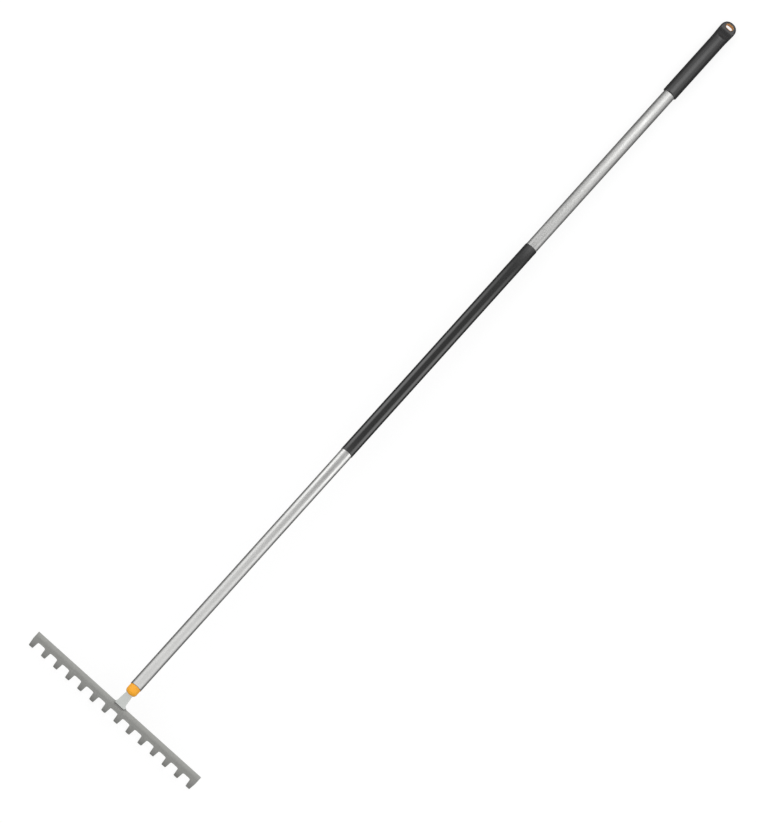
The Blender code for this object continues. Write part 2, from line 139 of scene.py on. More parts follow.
# The floor, and the grey of the room below and above
FLOOR_RADIUS = 40
FLOOR_SHADE = 0.2
FLOOR_GLOW = 0.83
ROOM_BELOW, ROOM_ABOVE = 0.14, 0.52
ROOM_BLEND = 0.12

# The tent's cloth, and its softboxes. Each softbox has a level, the angles from straight up that it fills and
# the width of its soft edge in degrees, then the stretch of the shaft on which it shows and that edge's width
# in metres. The camera sees it there because it leans, and the softbox itself is TENT_SHIFT further along
TENT_RADIUS = 1.0
TENT_LOW, TENT_HIGH = -1.6, 3.4
TENT_SHIFT = TENT_RADIUS * math.tan(CAMERA_LEAN)
CLOTH_GLOW_ABOVE, CLOTH_GLOW_BELOW = 0.35, 0.12
SOFTBOXES = (
    (0.75, (0, 75), 30, (-0.30, 0.27), 0.15),       # over the head
    (1.70, (55, 80), 22, (0.50, 0.80), 0.25),       # at both sides of the middle
    (0.70, (0, 60), 25, (1.18, 1.50), 0.10),        # over the grip
    (1.50, (0, 12), 28, (1.28, 1.46), 0.12))        # its bright middle


# ---------------------------------------------------------------- the tool's axes

def tool_frame():
    """The tool's own axes in the world, from the CAD: the origin is on the shaft's axis, at its lower end."""
    mounts = {mount["name"]: mount for mount in frame["record"]["mounts"]}
    up = Vector(mounts["eye_flat"]["axis"]).normalized()
    across = Vector((1, 0, 0))
    along = up.cross(across)
    low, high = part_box("shaft_tube")
    middle = (low + high) / 2
    start = min(v.co.dot(along) for v in frame["nodes"]["shaft_tube"].data.vertices)
    origin = middle + along * (start - middle.dot(along))
    return Matrix.Translation(origin) @ Matrix((across, along, up)).transposed().to_4x4()


TOOL = tool_frame()


def span(cad_node):
    """Lowest and highest corner of a CAD node in the tool's own axes."""
    inverse = TOOL.inverted()
    points = [inverse @ v.co for v in frame["nodes"][cad_node].data.vertices]
    low = Vector([min(p[i] for p in points) for i in range(3)])
    high = Vector([max(p[i] for p in points) for i in range(3)])
    return low, high


HEAD_LOW, HEAD_HIGH = span("rake_head")
TANG_LOW, TANG_HIGH = span("neck_tang")
COLLAR_LOW, COLLAR_HIGH = span("collar")
BUSHING_LOW, BUSHING_HIGH = span("tang_bushing")
RIVET_LOW, RIVET_HIGH = span("tang_rivet")
SHAFT_LOW, SHAFT_HIGH = span("shaft_tube")
SLEEVE_LOW, SLEEVE_HIGH = span("shaft_sleeve")
CORE_LOW, CORE_HIGH = span("grip_core")
GRIP_LOW, GRIP_HIGH = span("end_grip")

SHAFT_RADIUS = SHAFT_HIGH.x
BORE_RADIUS = SHAFT_RADIUS - SHAFT_WALL
TANG_THICKNESS = TANG_HIGH.z - TANG_LOW.z
RIVET_Y = (RIVET_LOW.y + RIVET_HIGH.y) / 2
EYE_Y = GRIP_HIGH.y - EYE_FROM_END


# ---------------------------------------------------------------- mesh helpers

def eased(share):
    """A share from 0 to 1, with a slow start and end."""
    return share * share * (3 - 2 * share)


def arc(centre, radii, start, end, steps):
    """Points (a, b) on an ellipse, from one angle in degrees to another."""
    points = []
    for i in range(steps + 1):
        angle = math.radians(start + (end - start) * i / steps)
        points.append((centre[0] + radii[0] * math.cos(angle), centre[1] + radii[1] * math.sin(angle)))
    return points


def mesh_object(name, verts, faces):
    """An object in the tool's axes, its faces pointing out."""
    bm = bmesh.new()
    points = [bm.verts.new(v) for v in verts]
    for face in faces:
        bm.faces.new([points[i] for i in face])
    bmesh.ops.recalc_face_normals(bm, faces=bm.faces)
    mesh = bpy.data.meshes.new(name)
    bm.to_mesh(mesh)
    bm.free()
    obj = bpy.data.objects.new(name, mesh)
    bpy.context.scene.collection.objects.link(obj)
    return obj


def loft(name, rings, closed=False):
    """A skin over rings with as many points each. A ring of one point is a pole; other ends are capped."""
    verts, indices = [], []
    for ring in rings:
        indices.append([len(verts) + i for i in range(len(ring))])
        verts += ring
    count = max(len(ring) for ring in rings)
    pairs = list(zip(indices, indices[1:]))
    if closed:
        pairs.append((indices[-1], indices[0]))
    faces = []
    for low, high in pairs:
        for i in range(count):
            j = (i + 1) % count
            corners = (low[i % len(low)], low[j % len(low)], high[j % len(high)], high[i % len(high)])
            faces.append(list(dict.fromkeys(corners)))
    if not closed:
        faces += [ring for ring in (indices[0], indices[-1]) if len(ring) > 1]
    return mesh_object(name, verts, faces)


def round_ring(y, radius, segments=FINE):
    """Points round the shaft's axis at y, or one point on it where the radius is 0."""
    angles = [2 * math.pi * i / segments for i in range(segments)] if radius > 0 else [0]
    return [(radius * math.sin(a), y, radius * math.cos(a)) for a in angles]


def turned(name, profile, closed=False, segments=FINE):
    """A body turned about the shaft's axis from (y, radius) points."""
    return loft(name, [round_ring(y, radius, segments) for y, radius in profile], closed)


def extruded(name, outline, low_z, high_z):
    """A prism along Z on an (x, y) outline."""
    return loft(name, [[(x, y, z) for x, y in outline] for z in (low_z, high_z)])


def apply_modifiers(obj):
    bpy.context.view_layer.update()
    evaluated = obj.evaluated_get(bpy.context.evaluated_depsgraph_get())
    mesh = bpy.data.meshes.new_from_object(evaluated)
    obj.modifiers.clear()
    obj.data = mesh


def combine(obj, tool, operation):
    """Cuts with a helper or joins it on, and then removes it."""
    modifier = obj.modifiers.new("combine", "BOOLEAN")
    modifier.operation = operation
    modifier.object = tool
    modifier.solver = "EXACT"
    apply_modifiers(obj)
    bpy.data.objects.remove(tool, do_unlink=True)


def round_edges(obj, width, segments=3, angle=50):
    bevel = obj.modifiers.new("round_edges", "BEVEL")
    bevel.width = width
    bevel.segments = segments
    bevel.limit_method = "ANGLE"
    bevel.angle_limit = math.radians(angle)
    apply_modifiers(obj)


def finish_piece(obj, material, cad_node, sharp=35):
    """Lays a finished piece where the CAD lies, in the place of its CAD node."""
    mesh = obj.data
    mesh.transform(TOOL)
    mesh.shade_smooth()
    mesh.set_sharp_from_angle(angle=math.radians(sharp))
    mesh.materials.clear()
    mesh.materials.append(material)
    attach(obj, "root")
    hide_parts(cad_node)
    return obj


# ---------------------------------------------------------------- material helpers

def new_material(name):
    material = bpy.data.materials.new(name)
    material.use_nodes = True
    tree = material.node_tree
    return material, tree, tree.nodes["Principled BSDF"]


def node(tree, kind, inputs=None, **settings):
    """Adds a node. An input is a value, or the socket that it is linked to."""
    added = tree.nodes.new(kind)
    for key, value in settings.items():
        setattr(added, key, value)
    for key, value in (inputs or {}).items():
        if isinstance(value, bpy.types.NodeSocket):
            tree.links.new(value, added.inputs[key])
        else:
            added.inputs[key].default_value = value
    return added


def tool_coordinates(tree, stretch=(1, 1, 1)):
    """Coordinates in the tool's own axes, in metres times the stretch."""
    place = node(tree, "ShaderNodeTexCoord").outputs["Object"]
    own = node(tree, "ShaderNodeMapping",
               {"Vector": place, "Location": TOOL.to_translation(), "Rotation": TOOL.to_euler()},
               vector_type="TEXTURE").outputs["Vector"]
    if stretch == (1, 1, 1):
        return own
    return node(tree, "ShaderNodeVectorMath", {0: own, 1: stretch}, operation="MULTIPLY").outputs["Vector"]


def noise(tree, vector, scale, detail=2, roughness=0.5):
    inputs = {"Vector": vector, "Scale": scale, "Detail": detail, "Roughness": roughness}
    return node(tree, "ShaderNodeTexNoise", inputs).outputs["Fac"]


def remap(tree, value, low, high, from_low=0.0, from_high=1.0):
    inputs = {"Value": value, "From Min": from_low, "From Max": from_high, "To Min": low, "To Max": high}
    return node(tree, "ShaderNodeMapRange", inputs).outputs["Result"]


def mix_colours(tree, factor, first, second, blend="MIX"):
    mixer = node(tree, "ShaderNodeMix", data_type="RGBA", blend_type=blend)
    for index, value in ((0, factor), (6, first), (7, second)):
        if isinstance(value, bpy.types.NodeSocket):
            tree.links.new(value, mixer.inputs[index])
        elif index == 0:
            mixer.inputs[0].default_value = value
        else:
            mixer.inputs[index].default_value = (*value, 1)
    return mixer.outputs[2]


def bump(tree, height, distance, strength=1.0, normal=None):
    inputs = {"Height": height, "Distance": distance, "Strength": strength}
    if normal:
        inputs["Normal"] = normal
    return node(tree, "ShaderNodeBump", inputs).outputs["Normal"]


def set_up(tree, shader, metallic=0.0, **sockets):
    """Sets the shader's inputs, by value or link; the names' underscores stand for spaces."""
    shader.inputs["Metallic"].default_value = metallic
    for key, value in sockets.items():
        socket = shader.inputs[key.replace("_", " ")]
        if isinstance(value, bpy.types.NodeSocket):
            tree.links.new(value, socket)
        else:
            socket.default_value = value


# ---------------------------------------------------------------- materials

def painted_steel():
    """Grey powder paint: orange peel, a faint cloudiness, and painted shade that darkens the tine tips,
    blotched by the cloudiness.
    """
    material, tree, shader = new_material("grey_powder_paint")
    place = tool_coordinates(tree)
    peel = noise(tree, place, 900, 3)
    clouds = noise(tree, place, 45, 4)
    tone = mix_colours(tree, clouds, (0.305, 0.307, 0.291), (0.37, 0.371, 0.351))
    speckle = remap(tree, noise(tree, place, 2400, 1), 0.94, 1.06, 0.3, 0.7)
    tone = mix_colours(tree, 1.0, tone, speckle, "MULTIPLY")
    # painted shade: the paint turns darker towards the tine tips, blotched by the clouds
    height = node(tree, "ShaderNodeSeparateXYZ", {0: place}).outputs["Z"]
    down = remap(tree, height, 1.0, 0.0, HEAD_LOW.z, HEAD_LOW.z + TINE_LENGTH)
    painted_tip_shade = node(tree, "ShaderNodeMath", {0: down, 1: clouds}, operation="MULTIPLY").outputs[0]
    tone = mix_colours(tree, painted_tip_shade, tone, (0.11, 0.11, 0.103))
    set_up(tree, shader, 0.0, Base_Color=tone, Roughness=remap(tree, peel, 0.38, 0.56),
           Normal=bump(tree, peel, 0.00003, 0.6))
    return material


def brushed(name, dark, light, rough_low, rough_high, streak_depth):
    """Bare metal drawn or brushed along the tool: long fine streaks in its tone, gloss and surface."""
    material, tree, shader = new_material(name)
    streaks = noise(tree, tool_coordinates(tree, (900, 6, 900)), 1, 4, 0.6)
    bands = noise(tree, tool_coordinates(tree, (160, 2, 160)), 1, 3)
    blotches = noise(tree, tool_coordinates(tree), 30, 3)
    tone = mix_colours(tree, streaks, dark, light)
    tone = mix_colours(tree, 1.0, tone, remap(tree, bands, 0.93, 1.05, 0.3, 0.7), "MULTIPLY")
    both = node(tree, "ShaderNodeMath", {0: streaks, 1: blotches}, operation="MULTIPLY").outputs[0]
    set_up(tree, shader, 1.0, Base_Color=tone, Roughness=remap(tree, both, rough_low, rough_high, 0.1, 0.45),
           Normal=bump(tree, streaks, streak_depth, 0.5))
    return material


def moulded(name, colour, shade, rough_low, rough_high, grain=1600, depth=0.00002, ior=1.5):
    """Moulded plastic or rubber: a fine grain from the tool, and a faint unevenness of tone."""
    material, tree, shader = new_material(name)
    place = tool_coordinates(tree)
    fine = noise(tree, place, grain, 2)
    clouds = noise(tree, place, 60, 4)
    tone = mix_colours(tree, clouds, shade, colour)
    set_up(tree, shader, 0.0, Base_Color=tone, Roughness=remap(tree, fine, rough_low, rough_high, 0.3, 0.7),
           Normal=bump(tree, fine, depth, 0.6), IOR=ior)
    return material


def orange_plastic():
    """Moulded orange, even on the collar; the grip core in the hanging eye is darkened and dulled with
    painted shade.
    """
    material, tree, shader = new_material("orange_plastic_moulded")
    place = tool_coordinates(tree)
    fine = noise(tree, place, 1600, 2)
    clouds = noise(tree, place, 60, 4)
    plain_orange = mix_colours(tree, clouds, (0.95, 0.40, 0.018), (1.0, 0.455, 0.026))
    eye_painted_shade = mix_colours(tree, clouds, (0.64, 0.33, 0.10), (0.76, 0.41, 0.14))
    # painted shade: plain orange at the shaft's lower end, turning to the darker, duller tone at its upper
    # end and beyond, so the grip core in the hanging eye looks shaded
    along = node(tree, "ShaderNodeSeparateXYZ", {0: place}).outputs["Y"]
    tone = mix_colours(tree, remap(tree, along, 0.0, 1.0, SHAFT_LOW.y, SHAFT_HIGH.y), plain_orange, eye_painted_shade)
    set_up(tree, shader, 0.0, Base_Color=tone, Roughness=remap(tree, fine, 0.3, 0.42, 0.3, 0.7),
           Specular_IOR_Level=0.35, Normal=bump(tree, fine, 0.00002, 0.6))
    return material


def weld_metal():
    """A weld bead under thin paint: heat tints in dull steel."""
    material, tree, shader = new_material("weld_bead")
    place = tool_coordinates(tree)
    tints = noise(tree, place, 500, 3)
    tone = mix_colours(tree, tints, (0.22, 0.217, 0.21), (0.38, 0.375, 0.36))
    set_up(tree, shader, 0.3, Base_Color=tone, Roughness=remap(tree, tints, 0.35, 0.6),
           Normal=bump(tree, noise(tree, place, 1800, 2), 0.00003, 0.5))
    return material


# ---------------------------------------------------------------- head

PITCH = (HEAD_HIGH.x - HEAD_LOW.x - TINE_ROOT_WIDTH) / (TINE_COUNT - 1)
BEND_LENGTH = FLANGE_BEND * (math.pi / 2 - FACE_LEAN)
BAR_LENGTH = FLANGE_FLAT + BEND_LENGTH + FACE_HEIGHT


def strip_point(s):
    """(y, z, heading) on the middle of the pressed strip, s along it from the flange's back edge."""
    y = HEAD_HIGH.y - min(s, FLANGE_FLAT)
    z = HEAD_HIGH.z - HEAD_SHEET / 2
    heading = 0.0
    if s > FLANGE_FLAT:
        heading = min(s - FLANGE_FLAT, BEND_LENGTH) / FLANGE_BEND
        y -= FLANGE_BEND * math.sin(heading)
        z -= FLANGE_BEND * (1 - math.cos(heading))
    if s > FLANGE_FLAT + BEND_LENGTH:
        down = min(s, BAR_LENGTH) - FLANGE_FLAT - BEND_LENGTH
        y -= down * math.cos(heading)
        z -= down * math.sin(heading)
    if s > BAR_LENGTH:
        radius = TINE_LENGTH / TINE_CURL
        turn = (s - BAR_LENGTH) / radius
        y -= radius * (math.sin(heading + turn) - math.sin(heading))
        z += radius * (math.cos(heading + turn) - math.cos(heading))
        heading += turn
    return y, z, heading


def tine_half_width(s, filleted):
    """Half the width of a tine at s, with the fillet at the gap's corner and the rounded tip."""
    down = max(s - BAR_LENGTH, 0)
    half = (TINE_ROOT_WIDTH + (TINE_TIP_WIDTH - TINE_ROOT_WIDTH) * down / TINE_LENGTH) / 2
    if filleted and down < TINE_ROOT_FILLET:
        half += TINE_ROOT_FILLET - math.sqrt(TINE_ROOT_FILLET**2 - (TINE_ROOT_FILLET - down) ** 2)
    into_tip = down - (TINE_LENGTH - TINE_TIP_ROUND)
    if into_tip > 0:
        half -= TINE_TIP_ROUND - math.sqrt(max(TINE_TIP_ROUND**2 - into_tip**2, 0))
    return half


def strip_rows():
    """Where the strip is divided along its length, and the first row that belongs to the tines."""
    bend_steps, face_steps, fillet_steps, tine_steps, tip_steps = 14, 3, 8, 12, 7
    rows = [0.0]
    rows += [FLANGE_FLAT + BEND_LENGTH * i / bend_steps for i in range(bend_steps + 1)]
    rows += [FLANGE_FLAT + BEND_LENGTH + FACE_HEIGHT * i / face_steps for i in range(1, face_steps + 1)]
    first_tine_row = len(rows) - 1
    rows += [BAR_LENGTH + TINE_ROOT_FILLET * (1 - math.cos(math.pi / 2 * i / fillet_steps))
             for i in range(1, fillet_steps + 1)]
    straight = TINE_LENGTH - TINE_ROOT_FILLET - TINE_TIP_ROUND
    rows += [BAR_LENGTH + TINE_ROOT_FILLET + straight * i / tine_steps for i in range(1, tine_steps + 1)]
    tip_start = BAR_LENGTH + TINE_LENGTH - TINE_TIP_ROUND
    rows += [tip_start + TINE_TIP_ROUND * math.sin(math.pi / 2 * i / tip_steps)
             for i in range(1, tip_steps + 1)]
    return rows, first_tine_row


def make_head(material):
    rows, first_tine_row = strip_rows()
    columns = 2 * TINE_COUNT
    verts = []
    for side in (1, -1):
        for s in rows:
            y, z, heading = strip_point(s)
            y -= side * HEAD_SHEET / 2 * math.sin(heading)
            z += side * HEAD_SHEET / 2 * math.cos(heading)
            for tine in range(TINE_COUNT):
                centre = (tine - (TINE_COUNT - 1) / 2) * PITCH
                verts.append((centre - tine_half_width(s, tine > 0), y, z))
                verts.append((centre + tine_half_width(s, tine < TINE_COUNT - 1), y, z))

    def at(side, row, column):
        return (side * len(rows) + row) * columns + column

    faces = []
    for row in range(len(rows) - 1):
        on_bar = row < first_tine_row
        for column in range(columns - 1):
            if on_bar or column % 2 == 0:
                for side in (0, 1):
                    faces.append([at(side, row, column), at(side, row, column + 1),
                                  at(side, row + 1, column + 1), at(side, row + 1, column)])
        for column in (0, columns - 1) if on_bar else range(columns):
            faces.append([at(0, row, column), at(0, row + 1, column),
                          at(1, row + 1, column), at(1, row, column)])
    last = len(rows) - 1
    for column in range(columns - 1):
        for row in (0, last if column % 2 == 0 else first_tine_row):
            faces.append([at(0, row, column), at(0, row, column + 1),
                          at(1, row, column + 1), at(1, row, column)])
    head = mesh_object("tined_head", verts, faces)
    round_edges(head, HEAD_EDGE_ROUND)
    return finish_piece(head, material, "rake_head")


# ---------------------------------------------------------------- tang and welds

def foot_side(sign, flare):
    """One side of the tang's outline, from its inner end to the foot's front corner."""
    tang_half = BORE_RADIUS - TANG_INSET
    shoulder_y = COLLAR_LOW.y + NECK_IN_COLLAR
    points = [(tang_half, TANG_HIGH.y), (tang_half, shoulder_y)]
    points += [(NECK_WIDTH / 2, shoulder_y), (NECK_WIDTH / 2, COLLAR_LOW.y)]
    centre = (FOOT_WIDTH / 2 + flare, HEAD_HIGH.y + FOOT_FLARE_LENGTH)
    points += arc(centre, (flare, FOOT_FLARE_LENGTH), 180, 270, 16)
    points.append((FOOT_WIDTH / 2 + flare / 4, HEAD_HIGH.y - FOOT_OVERLAP))
    return [(sign * x, y) for x, y in points]


def make_tang(material):
    outline = foot_side(1, FOOT_FLARE_RIGHT) + foot_side(-1, FOOT_FLARE_LEFT)[::-1]
    tang = extruded("flat_tang", outline, TANG_LOW.z, TANG_HIGH.z)
    round_edges(tang, TANG_EDGE_ROUND, 4, 60)
    combine(tang, rivet_hole(-SHAFT_RADIUS, SHAFT_RADIUS), "DIFFERENCE")
    return finish_piece(tang, material, "neck_tang")


def make_weld(name, cad_node, corner, towards, material):
    """A bead along the foot's edge, in the corner (y, z): a raised face with the crescents of its passes."""
    low, high = span(cad_node)
    steps = 110
    rings = []
    for i in range(steps + 1):
        share = i / steps
        x = low.x + (high.x - low.x) * share
        from_end = min(share, 1 - share, WELD_END) / WELD_END
        swell = min(1.0, math.sqrt(1 - (1 - from_end) ** 2) + WELD_END_HEIGHT)
        ring = [(x, corner[0], corner[1])]
        for angle in range(0, 91, 9):
            turn = math.radians(angle)
            lag = WELD_RIPPLE_BOW * math.cos(2 * (turn - math.pi / 4))
            wave = math.cos(2 * math.pi * (x / WELD_RIPPLE_PITCH + lag))
            ripple = 1 - WELD_RIPPLE_DEPTH * (0.5 + 0.5 * wave)
            reach = WELD_LEG * (1 - WELD_HOLLOW * math.sin(2 * turn)) * ripple * swell
            ring.append((x, corner[0] + towards[0] * reach * math.cos(turn),
                         corner[1] + towards[1] * reach * math.sin(turn)))
        rings.append(ring)
    bead = loft(name, rings)
    return finish_piece(bead, material, cad_node, 50)


# ---------------------------------------------------------------- collar, bushing, rivet

def tang_slot():
    """The tang's way through a plastic piece."""
    neck = NECK_WIDTH / 2 + GAP
    tang = BORE_RADIUS - TANG_INSET + GAP
    shoulder_y = COLLAR_LOW.y + NECK_IN_COLLAR + GAP
    right = [(neck, COLLAR_LOW.y - GAP), (neck, shoulder_y), (tang, shoulder_y), (tang, TANG_HIGH.y + GAP)]
    outline = right + [(-x, y) for x, y in reversed(right)]
    half = TANG_THICKNESS / 2 + GAP
    return extruded("slot", outline, -half, half)


def rivet_hole(low_z=-2 * SHAFT_RADIUS, high_z=RIVET_HIGH.z + GAP):
    """The rivet's way through a piece: from below, it ends inside the collar's spigot."""
    radius = RIVET_SHANK_DIAMETER / 2 + GAP
    hole = arc((0, RIVET_Y), (radius, radius), 0, 360, RIVET_HOLE_SEGMENTS)[:-1]
    return extruded("hole", hole, low_z, high_z)


def make_collar(material):
    start, radius = COLLAR_LOW.y, COLLAR_HIGH.x
    spigot = BORE_RADIUS - GAP
    rim = COLLAR_RIM
    profile = [(start, 0)]
    profile += arc((start + COLLAR_DOME, 0), (-COLLAR_DOME, radius), 0, 90, 36)[1:]
    profile += arc((-GAP - rim, radius - rim), (rim, rim), 90, 0, 4)
    end = COLLAR_HIGH.y
    profile += [(-GAP, spigot), (end - rim, spigot), (end, spigot - rim), (end, 0)]
    collar = turned("orange_collar", profile)
    combine(collar, tang_slot(), "DIFFERENCE")
    combine(collar, rivet_hole(), "DIFFERENCE")
    return finish_piece(collar, material, "collar", 30)


def make_bushing(material):
    start, end = BUSHING_LOW.y, BUSHING_HIGH.y
    radius, rim = BUSHING_HIGH.x, COLLAR_RIM
    profile = [(start, 0), (start, radius - rim), (start + rim, radius)]
    profile += [(end - rim, radius), (end, radius - rim), (end, 0)]
    bushing = turned("tang_plug", profile)
    combine(bushing, tang_slot(), "DIFFERENCE")
    return finish_piece(bushing, material, "tang_bushing")


def make_rivet(material):
    """The shank stands up from a domed head under the shaft."""
    shank, head = RIVET_SHANK_DIAMETER / 2, RIVET_HIGH.x
    seat, top = RIVET_LOW.z + RIVET_HEAD_HEIGHT, RIVET_HIGH.z
    profile = [(RIVET_LOW.z, 0)] + arc((seat, 0), (-RIVET_HEAD_HEIGHT, head), 4, 90, 20)
    profile += [(seat, shank), (top - GAP, shank), (top, shank - GAP), (top, 0)]
    rivet = turned("rivet", profile, segments=RIVET_SEGMENTS)
    rivet.data.transform(Matrix.Translation((0, RIVET_Y, 0)) @ Matrix.Rotation(math.pi / 2, 4, "X"))
    return finish_piece(rivet, material, "tang_rivet")


# ---------------------------------------------------------------- shaft and sleeve

def make_shaft(material):
    radius, chamfer, end = SHAFT_RADIUS, SHAFT_CHAMFER, SHAFT_HIGH.y
    steps = 15
    profile = [(chamfer + (end - 2 * chamfer) * i / steps, radius) for i in range(steps + 1)]
    profile += [(end, radius - chamfer), (end, BORE_RADIUS), (0, BORE_RADIUS), (0, radius - chamfer)]
    shaft = turned("aluminium_tube", profile, closed=True)
    combine(shaft, rivet_hole(), "DIFFERENCE")
    return finish_piece(shaft, material, "shaft_tube")


def make_sleeve(material):
    inner, outer = SHAFT_RADIUS + SKIN_GAP, SLEEVE_HIGH.x
    start, end = SLEEVE_LOW.y, SLEEVE_HIGH.y
    wall = outer - inner
    steps = 8
    profile = arc((start + wall, inner), (wall, wall), 180, 90, 5)
    profile += [(start + wall + (end - start - 2 * wall) * i / steps, outer) for i in range(1, steps)]
    profile += arc((end - wall, inner), (wall, wall), 90, 0, 5)
    sleeve = turned("black_sleeve", profile, closed=True)
    return finish_piece(sleeve, material, "shaft_sleeve")


# ---------------------------------------------------------------- grip

def oval(grow, steps=24):
    """The eye's oval, grown by a margin."""
    half_x, half_y = EYE_LENGTH / 2 + grow, EYE_HEIGHT / 2 + grow
    straight = half_x - half_y
    right = arc((straight, EYE_Y), (half_y, half_y), -90, 90, steps)
    return right + arc((-straight, EYE_Y), (half_y, half_y), 90, 270, steps)


def eye_cutter(grow, mouth_z, lip):
    """An oval cutter with flared mouths, so that what it cuts has rounded lips at plus and minus mouth_z."""
    levels = [(grow + lip, -mouth_z - GAP)]
    levels += [(grow + lip * (1 - math.cos(a)), -mouth_z + lip * (1 - math.sin(a)))
               for a in (math.radians(90 - 15 * i) for i in range(7))]
    levels += [(margin, -z) for margin, z in reversed(levels)]
    return loft("eye", [[(x, y, z) for x, y in oval(margin)] for margin, z in levels])


def core_outline(grow):
    """The flat core beyond the shaft's end: as wide as the grip's body takes, then as the eye needs."""
    half, end, corner = CORE_HIGH.x + grow, CORE_HIGH.y + grow, CORE_CORNER + grow
    thick = EYE_FLAT_THICKNESS / 2 - CORE_COVER
    start_half = math.sqrt((SHAFT_RADIUS + GRIP_WALL - CORE_EDGE_COVER) ** 2 - thick**2) + grow
    start, widest = SHAFT_HIGH.y + GAP - grow, GRIP_HIGH.y - GRIP_END_ROUND
    points = [(start_half, start), (half, widest)]
    points += arc((half - corner, end - corner), (corner, corner), 0, 90, 20)
    points += arc((corner - half, end - corner), (corner, corner), 90, 180, 20)
    return points + [(-half, widest), (-start_half, start)]


def make_core(material):
    half = EYE_FLAT_THICKNESS / 2 - CORE_COVER
    plug, end = BORE_RADIUS - GAP, SHAFT_HIGH.y
    core = extruded("eye_core", core_outline(0), -half, half)
    profile = [(CORE_LOW.y, 0), (CORE_LOW.y, plug - PLUG_LEAD_IN), (CORE_LOW.y + PLUG_LEAD_IN, plug)]
    profile += [(end + GAP, plug), (end + CORE_SHOULDER, half), (end + CORE_SHOULDER, 0)]
    combine(core, turned("plug", profile), "UNION")
    rim = EYE_FLAT_THICKNESS / 2 - EYE_RIM_SUNK
    combine(core, extruded("rim", oval(-GAP), -rim, rim), "UNION")
    combine(core, eye_cutter(-GAP - EYE_RIM, rim, EYE_LIP_ROUND), "DIFFERENCE")
    return finish_piece(core, material, "grip_core", 30)


def flat_height(y):
    """How high above the axis the scooped flats stand at y: level at the eye, rising in an arc before it."""
    flat, run = EYE_FLAT_THICKNESS / 2, EYE_SCOOP_START - EYE_SCOOP_END
    drop = SHAFT_RADIUS + GRIP_WALL - flat
    radius = (run**2 + drop**2) / (2 * drop)
    back = max(GRIP_HIGH.y - EYE_SCOOP_END - y, 0)
    if back >= radius:
        return flat + radius
    return flat + radius - math.sqrt(radius**2 - back**2)


def grip_ring(y, radius):
    """A round section with its top and bottom flattened, the corners between them eased."""
    flat = flat_height(y)
    sharpness = 22
    ring = []
    for i in range(FINE):
        angle = 2 * math.pi * i / FINE
        upward = max(abs(math.cos(angle)), 1e-6)
        reach = (radius**-sharpness + (flat / upward) ** -sharpness) ** (-1 / sharpness)
        ring.append((reach * math.sin(angle), y, reach * math.cos(angle)))
    return ring


def make_grip(material):
    radius, widest = SHAFT_RADIUS + GRIP_WALL, GRIP_HIGH.x
    start, end = GRIP_LOW.y, GRIP_HIGH.y - GRIP_END_TRIM
    bore, bore_end = SHAFT_RADIUS + GAP, SHAFT_HIGH.y + 2 * GAP
    lip = GRIP_MOUTH_ROUND
    inner_lip = lip / 4
    inside = [(bore_end, 0), (bore_end, bore), (start + inner_lip, bore)]
    inside += arc((start + inner_lip, bore + inner_lip), (inner_lip, inner_lip), 270, 180, 4)
    rings = [round_ring(y, r) for y, r in inside]
    outside = arc((start + lip, radius - lip), (lip, lip), 180, 90, 8)
    widest_y = end - GRIP_END_ROUND
    swell_start = widest_y - GRIP_BULGE_LENGTH
    body_steps, swell_steps, end_steps = 10, 40, 40
    body_start = start + lip
    body = swell_start - body_start
    outside += [(body_start + body * i / body_steps, radius) for i in range(1, body_steps)]
    for i in range(swell_steps + 1):
        share = i / swell_steps
        outside.append((swell_start + GRIP_BULGE_LENGTH * share, radius + (widest - radius) * eased(share)))
    power = 2 / GRIP_END_SHAPE
    for along, out in arc((0, 0), (1, 1), 90, 0, end_steps)[1:-1]:
        outside.append((widest_y + GRIP_END_ROUND * along**power, widest * out**power))
    rings += [grip_ring(y, r) for y, r in outside]
    rings.append([(0, end, 0)])
    grip = loft("soft_grip", rings)
    cavity = EYE_FLAT_THICKNESS / 2 - CORE_COVER + GAP
    combine(grip, extruded("cavity", core_outline(GAP), -cavity, cavity), "DIFFERENCE")
    combine(grip, eye_cutter(0, EYE_FLAT_THICKNESS / 2, EYE_LIP_ROUND), "DIFFERENCE")
    return finish_piece(grip, material, "end_grip")


# ---------------------------------------------------------------- camera, floor and light

def make_camera():
    lean, turn = CAMERA_LEAN, CAMERA_TURN
    towards_camera = Vector((0, -math.sin(lean), math.cos(lean)))
    along = Vector((0, math.cos(lean), math.sin(lean)))
    across = Vector((1, 0, 0))
    right = across * math.cos(turn) + along * math.sin(turn)
    up = along * math.cos(turn) - across * math.sin(turn)
    distance = PICTURE_HEIGHT / 2 / (SENSOR_SIZE / 2 / CAMERA_LENS)
    place = along * PICTURE_CENTRE_ALONG + across * PICTURE_CENTRE_ACROSS + towards_camera * distance
    data = bpy.data.cameras.new("camera")
    data.lens = CAMERA_LENS
    data.sensor_width = SENSOR_SIZE
    data.clip_start, data.clip_end = 1, 200
    camera = bpy.data.objects.new("camera", data)
    bpy.context.scene.collection.objects.link(camera)
    turn_to_tool = Matrix((right, up, towards_camera)).transposed().to_4x4()
    camera.matrix_world = TOOL @ Matrix.Translation(place) @ turn_to_tool
    bpy.context.scene.camera = camera


def make_floor():
    bm = bmesh.new()
    bmesh.ops.create_circle(bm, cap_ends=True, segments=96, radius=FLOOR_RADIUS)
    mesh = bpy.data.meshes.new("floor")
    bm.to_mesh(mesh)
    bm.free()
    floor = bpy.data.objects.new("floor", mesh)
    bpy.context.scene.collection.objects.link(floor)
    material, tree, shader = new_material("pale_floor")
    shade = (FLOOR_SHADE, FLOOR_SHADE, FLOOR_SHADE, 1)
    set_up(tree, shader, 0.0, Base_Color=shade, Roughness=1.0, Specular_IOR_Level=0.0,
           Emission_Color=(1, 1, 1, 1), Emission_Strength=FLOOR_GLOW)
    mesh.materials.append(material)
    floor.visible_glossy = False


